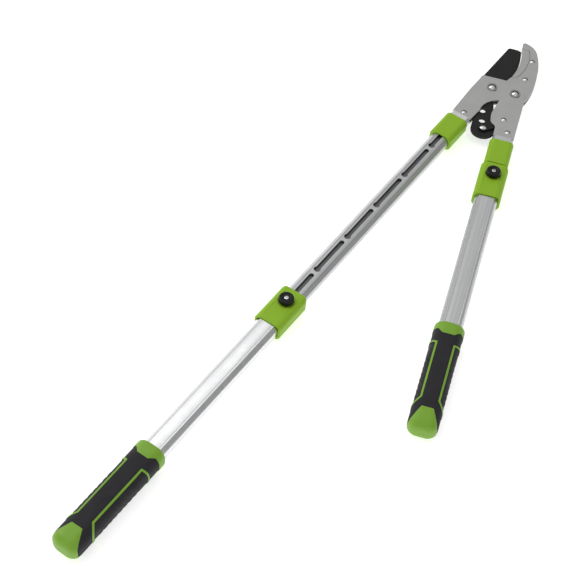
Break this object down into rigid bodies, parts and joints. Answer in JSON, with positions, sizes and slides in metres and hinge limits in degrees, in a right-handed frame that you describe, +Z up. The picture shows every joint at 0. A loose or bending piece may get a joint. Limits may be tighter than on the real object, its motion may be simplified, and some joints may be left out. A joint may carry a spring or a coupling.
{
  "type": "telescopic loppers",
  "caption": "Telescopic compound-action anvil loppers with a hooked anvil, a black blade and soft grips; one handle drawn out, the other closed up.",
  "frame": {"origin": "under the middle of the whole object, on the surface that it lies on", "axes": "+Z up out of the front plates, +Y towards the hook's tip along the closed-up handle, +X to the hook's outer side"},
  "size_m": [0.3663, 0.9236, 0.035],
  "materials": {
    "plate": "sand-blasted, matte",
    "polished": "polished",
    "black_steel": "matte non-stick coating",
    "black_plastic": "matte",
    "aluminium": "drawn, fine lengthwise lines",
    "green": "satin",
    "grip_rubber": "soft, finely textured",
    "knob": "gloss"
  },
  "bodies": {
    "anvil_arm": {"anvil_plate_front": "plate", "anvil_plate_back": "plate", "anvil_insert": "plate", "anvil_arm_core": "black_plastic", "anvil_arm_rivets": "polished", "main_pivot": "polished", "main_spacer": "polished", "main_washer_front": "polished", "main_washer_back": "polished", "blade_pivot": "polished", "blade_washer_front": "polished", "blade_washer_back": "polished", "collar_left": "aluminium", "inner_tube_left": "aluminium", "head_sleeve_left": "green", "tube_guide_left": "black_plastic"},
    "lever_arm": {"lever_plate_front": "plate", "lever_plate_back": "plate", "lever_arm_core": "black_plastic", "link_pivot_pin": "polished", "lever_arm_rivet": "polished", "collar_right": "aluminium", "inner_tube_right": "aluminium", "head_sleeve_right": "green", "tube_guide_right": "black_plastic"},
    "blade": {"blade": "black_steel", "tail_pin": "polished"},
    "links": {"link_front": "black_steel", "link_back": "black_steel"},
    "left_outer": {"outer_tube_left": "aluminium", "clamp_left": "green", "grip_core_left": "green", "grip_cover_left": "grip_rubber"},
    "left_knob": {"lock_knob_left": "knob", "lock_pin_left": "polished", "knob_screw_left": "polished"},
    "right_outer": {"outer_tube_right": "aluminium", "clamp_right": "green", "grip_core_right": "green", "grip_cover_right": "grip_rubber"},
    "right_knob": {"lock_knob_right": "knob", "lock_pin_right": "polished", "knob_screw_right": "polished"}
  },
  "joints": [
    {"name": "handles", "type": "hinge", "parent": "anvil_arm", "child": "lever_arm", "pos_m": [0.16047, 0.35607, 0.0155], "axis": [0, 0, 1], "range_deg": [0, 45]},
    {"name": "blade_turn", "type": "hinge", "parent": "anvil_arm", "child": "blade", "pos_m": [0.12897, 0.36107, 0.0155], "axis": [0, 0, 1], "range_deg": [0, 31]},
    {"name": "link_turn", "type": "hinge", "parent": "lever_arm", "child": "links", "pos_m": [0.15497, 0.30357, 0.0155], "axis": [0, 0, 1], "range_deg": [-49, 0]},
    {"name": "left_extension", "type": "slide", "parent": "anvil_arm", "child": "left_outer", "axis": [0.3355, 0.9421, 0], "range_m": [0, 0.325]},
    {"name": "right_extension", "type": "slide", "parent": "lever_arm", "child": "right_outer", "axis": [-0.0105, -0.9999, 0], "range_m": [0, 0.325]},
    {"name": "left_lock", "type": "slide", "parent": "left_outer", "child": "left_knob", "axis": [0, 0, 1], "range_m": [-0.0024, 0]},
    {"name": "right_lock", "type": "slide", "parent": "right_outer", "child": "right_knob", "axis": [0, 0, 1], "range_m": [-0.0024, 0]}
  ],
  "couplings": [
    {"joint": "blade_turn", "follows": "handles", "ratio": 0.67},
    {"joint": "link_turn", "follows": "handles", "ratio": -1.055}
  ]
}
